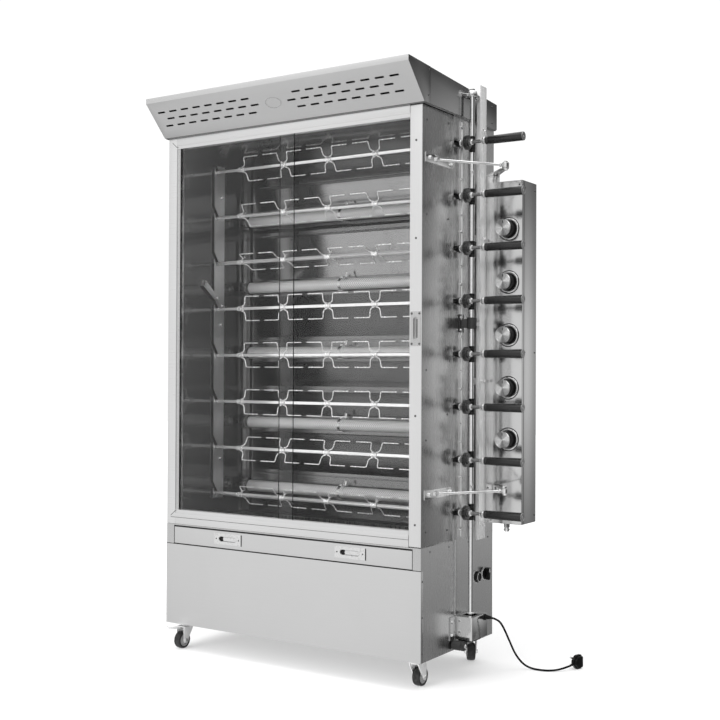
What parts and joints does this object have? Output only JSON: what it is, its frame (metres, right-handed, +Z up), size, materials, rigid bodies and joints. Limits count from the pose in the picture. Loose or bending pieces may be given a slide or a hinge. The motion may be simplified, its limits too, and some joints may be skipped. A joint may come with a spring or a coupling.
{
  "type": "rotisserie oven",
  "caption": "Upright gas rotisserie oven on casters with worm-driven spits, sliding glass, a swing-out side door, hood and drip drawer.",
  "frame": {"origin": "centre of the bounding box's footprint on the floor, without the mains lead", "axes": "+X to the right as seen from the front (towards the spit handles), +Y to the back, +Z up"},
  "size_m": [1.4342, 0.7187, 2.05],
  "materials": {
    "brushed_steel": "brushed stainless steel",
    "side_steel": "brushed stainless steel, side and rear sheets",
    "inner_steel": "polished stainless liner",
    "frame_metal": "satin stainless frame",
    "rod_steel": "bright plated steel",
    "mesh_steel": "fine wire mesh round a burner tube",
    "dark_steel": "dark painted casting",
    "black_plastic": "black plastic",
    "rubber": "black rubber",
    "zinc_steel": "bright zinc plate",
    "face_aluminium": "turned aluminium face on a black knob",
    "clear_glass": "clear toughened glass"
  },
  "bodies": {
    "oven": {"base_cabinet": "side_steel", "base_front_panel": "brushed_steel", "left_wall": "inner_steel", "right_wall": "side_steel", "rear_reflector": "inner_steel", "rear_cover": "side_steel", "roof_panel": "inner_steel", "hood": "brushed_steel", "front_frame": "frame_metal", "spit_rack": "inner_steel", "burner_1": "mesh_steel", "burner_2": "mesh_steel", "burner_3": "mesh_steel", "burner_4": "mesh_steel", "burner_5": "mesh_steel", "drive_column": "side_steel", "motor_cover": "side_steel", "gear_motor": "dark_steel", "control_box": "brushed_steel", "cord_gland": "black_plastic", "power_cord": "rubber", "plug": "black_plastic"},
    "drive_shaft": {"drive_shaft": "rod_steel"},
    "spit_1": {"spit_1": "rod_steel", "spit_handle_1": "black_plastic"},
    "spit_2": {"spit_2": "rod_steel", "spit_handle_2": "black_plastic"},
    "spit_3": {"spit_3": "rod_steel", "spit_handle_3": "black_plastic"},
    "spit_4": {"spit_4": "rod_steel", "spit_handle_4": "black_plastic"},
    "spit_5": {"spit_5": "rod_steel", "spit_handle_5": "black_plastic"},
    "spit_6": {"spit_6": "rod_steel", "spit_handle_6": "black_plastic"},
    "spit_7": {"spit_7": "rod_steel", "spit_handle_7": "black_plastic"},
    "spit_8": {"spit_8": "rod_steel", "spit_handle_8": "black_plastic"},
    "side_door": {"side_door": "brushed_steel"},
    "glass_left": {"glass_left": "clear_glass"},
    "glass_right": {"glass_right": "clear_glass"},
    "drip_drawer": {"drip_drawer": "brushed_steel"},
    "gas_knob_1": {"gas_knob_1": "face_aluminium"},
    "gas_knob_2": {"gas_knob_2": "face_aluminium"},
    "gas_knob_3": {"gas_knob_3": "face_aluminium"},
    "gas_knob_4": {"gas_knob_4": "face_aluminium"},
    "gas_knob_5": {"gas_knob_5": "face_aluminium"},
    "motor_switch": {"motor_switch": "black_plastic"},
    "lamp_switch": {"lamp_switch": "black_plastic"},
    "caster_front_left": {"caster_fork_front_left": "zinc_steel"},
    "wheel_front_left": {"caster_wheel_front_left": "rubber"},
    "brake_pedal_front_left": {"brake_pedal_front_left": "zinc_steel"},
    "caster_front_right": {"caster_fork_front_right": "zinc_steel"},
    "wheel_front_right": {"caster_wheel_front_right": "rubber"},
    "caster_rear_left": {"caster_fork_rear_left": "zinc_steel"},
    "wheel_rear_left": {"caster_wheel_rear_left": "rubber"},
    "brake_pedal_rear_left": {"brake_pedal_rear_left": "zinc_steel"},
    "caster_rear_right": {"caster_fork_rear_right": "zinc_steel"},
    "wheel_rear_right": {"caster_wheel_rear_right": "rubber"}
  },
  "joints": [
    {"name": "drive_shaft_spin", "type": "hinge", "parent": "oven", "child": "drive_shaft", "pos_m": [0.469, 0.081, 1], "axis": [0, 0, 1], "continuous": true},
    {"name": "spit_1_spin", "type": "hinge", "parent": "oven", "child": "spit_1", "pos_m": [-0.107, 0.044, 1.8275], "axis": [1, 0, 0], "continuous": true},
    {"name": "spit_2_spin", "type": "hinge", "parent": "oven", "child": "spit_2", "pos_m": [-0.107, 0.044, 1.647], "axis": [1, 0, 0], "continuous": true},
    {"name": "spit_3_spin", "type": "hinge", "parent": "oven", "child": "spit_3", "pos_m": [-0.107, 0.044, 1.4665], "axis": [1, 0, 0], "continuous": true},
    {"name": "spit_4_spin", "type": "hinge", "parent": "oven", "child": "spit_4", "pos_m": [-0.107, 0.044, 1.286], "axis": [1, 0, 0], "continuous": true},
    {"name": "spit_5_spin", "type": "hinge", "parent": "oven", "child": "spit_5", "pos_m": [-0.107, 0.044, 1.1055], "axis": [1, 0, 0], "continuous": true},
    {"name": "spit_6_spin", "type": "hinge", "parent": "oven", "child": "spit_6", "pos_m": [-0.107, 0.044, 0.925], "axis": [1, 0, 0], "continuous": true},
    {"name": "spit_7_spin", "type": "hinge", "parent": "oven", "child": "spit_7", "pos_m": [-0.107, 0.044, 0.7445], "axis": [1, 0, 0], "continuous": true},
    {"name": "spit_8_spin", "type": "hinge", "parent": "oven", "child": "spit_8", "pos_m": [-0.107, 0.044, 0.564], "axis": [1, 0, 0], "continuous": true},
    {"name": "side_door_swing", "type": "hinge", "parent": "oven", "child": "side_door", "pos_m": [0.588, 0.097, 1.194], "axis": [0, 0, 1], "range_deg": [0, 110]},
    {"name": "glass_left_slide", "type": "slide", "parent": "oven", "child": "glass_left", "axis": [1, 0, 0], "range_m": [0, 0.47]},
    {"name": "glass_right_slide", "type": "slide", "parent": "oven", "child": "glass_right", "axis": [-1, 0, 0], "range_m": [0, 0.45]},
    {"name": "drip_drawer_slide", "type": "slide", "parent": "oven", "child": "drip_drawer", "axis": [0, -1, 0], "range_m": [0, 0.4]},
    {"name": "gas_knob_1_turn", "type": "hinge", "parent": "oven", "child": "gas_knob_1", "pos_m": [0.552, 0.149, 1.543], "axis": [0, 1, 0], "range_deg": [0, 180]},
    {"name": "gas_knob_2_turn", "type": "hinge", "parent": "oven", "child": "gas_knob_2", "pos_m": [0.552, 0.149, 1.358], "axis": [0, 1, 0], "range_deg": [0, 180]},
    {"name": "gas_knob_3_turn", "type": "hinge", "parent": "oven", "child": "gas_knob_3", "pos_m": [0.552, 0.149, 1.173], "axis": [0, 1, 0], "range_deg": [0, 180]},
    {"name": "gas_knob_4_turn", "type": "hinge", "parent": "oven", "child": "gas_knob_4", "pos_m": [0.552, 0.149, 0.9895], "axis": [0, 1, 0], "range_deg": [0, 180]},
    {"name": "gas_knob_5_turn", "type": "hinge", "parent": "oven", "child": "gas_knob_5", "pos_m": [0.552, 0.149, 0.81], "axis": [0, 1, 0], "range_deg": [0, 180]},
    {"name": "motor_switch_turn", "type": "hinge", "parent": "oven", "child": "motor_switch", "pos_m": [0.439, 0.252, 0.324], "axis": [1, 0, 0], "range_deg": [0, 90]},
    {"name": "lamp_switch_press", "type": "slide", "parent": "oven", "child": "lamp_switch", "axis": [-1, 0, 0], "range_m": [0, 0.003], "stiffness_N_per_m": 800},
    {"name": "caster_front_left_swivel", "type": "hinge", "parent": "oven", "child": "caster_front_left", "pos_m": [-0.619, -0.143, 0.09], "axis": [0, 0, 1], "continuous": true},
    {"name": "wheel_front_left_roll", "type": "hinge", "parent": "caster_front_left", "child": "wheel_front_left", "pos_m": [-0.619, -0.171, 0.032], "axis": [-1, 0, 0], "continuous": true},
    {"name": "brake_front_left_press", "type": "hinge", "parent": "caster_front_left", "child": "brake_pedal_front_left", "pos_m": [-0.619, -0.193, 0.08], "axis": [1, 0, 0], "range_deg": [0, 18]},
    {"name": "caster_front_right_swivel", "type": "hinge", "parent": "oven", "child": "caster_front_right", "pos_m": [0.383, -0.143, 0.09], "axis": [0, 0, 1], "continuous": true},
    {"name": "wheel_front_right_roll", "type": "hinge", "parent": "caster_front_right", "child": "wheel_front_right", "pos_m": [0.383, -0.115, 0.032], "axis": [1, 0, 0], "continuous": true},
    {"name": "caster_rear_left_swivel", "type": "hinge", "parent": "oven", "child": "caster_rear_left", "pos_m": [-0.619, 0.255, 0.09], "axis": [0, 0, 1], "continuous": true},
    {"name": "wheel_rear_left_roll", "type": "hinge", "parent": "caster_rear_left", "child": "wheel_rear_left", "pos_m": [-0.59143, 0.25986, 0.032], "axis": [0.1736, -0.9848, 0], "continuous": true},
    {"name": "brake_rear_left_press", "type": "hinge", "parent": "caster_rear_left", "child": "brake_pedal_rear_left", "pos_m": [-0.56976, 0.26368, 0.08], "axis": [-0.1736, 0.9848, 0], "range_deg": [0, 18]},
    {"name": "caster_rear_right_swivel", "type": "hinge", "parent": "oven", "child": "caster_rear_right", "pos_m": [0.383, 0.255, 0.09], "axis": [0, 0, 1], "continuous": true},
    {"name": "wheel_rear_right_roll", "type": "hinge", "parent": "caster_rear_right", "child": "wheel_rear_right", "pos_m": [0.36775, 0.27848, 0.032], "axis": [0.8387, 0.5446, 0], "continuous": true}
  ],
  "couplings": [
    {"joint": "spit_1_spin", "follows": "drive_shaft_spin", "ratio": 0.035714},
    {"joint": "spit_2_spin", "follows": "drive_shaft_spin", "ratio": 0.035714},
    {"joint": "spit_3_spin", "follows": "drive_shaft_spin", "ratio": 0.035714},
    {"joint": "spit_4_spin", "follows": "drive_shaft_spin", "ratio": 0.035714},
    {"joint": "spit_5_spin", "follows": "drive_shaft_spin", "ratio": 0.035714},
    {"joint": "spit_6_spin", "follows": "drive_shaft_spin", "ratio": 0.035714},
    {"joint": "spit_7_spin", "follows": "drive_shaft_spin", "ratio": 0.035714},
    {"joint": "spit_8_spin", "follows": "drive_shaft_spin", "ratio": 0.035714}
  ]
}
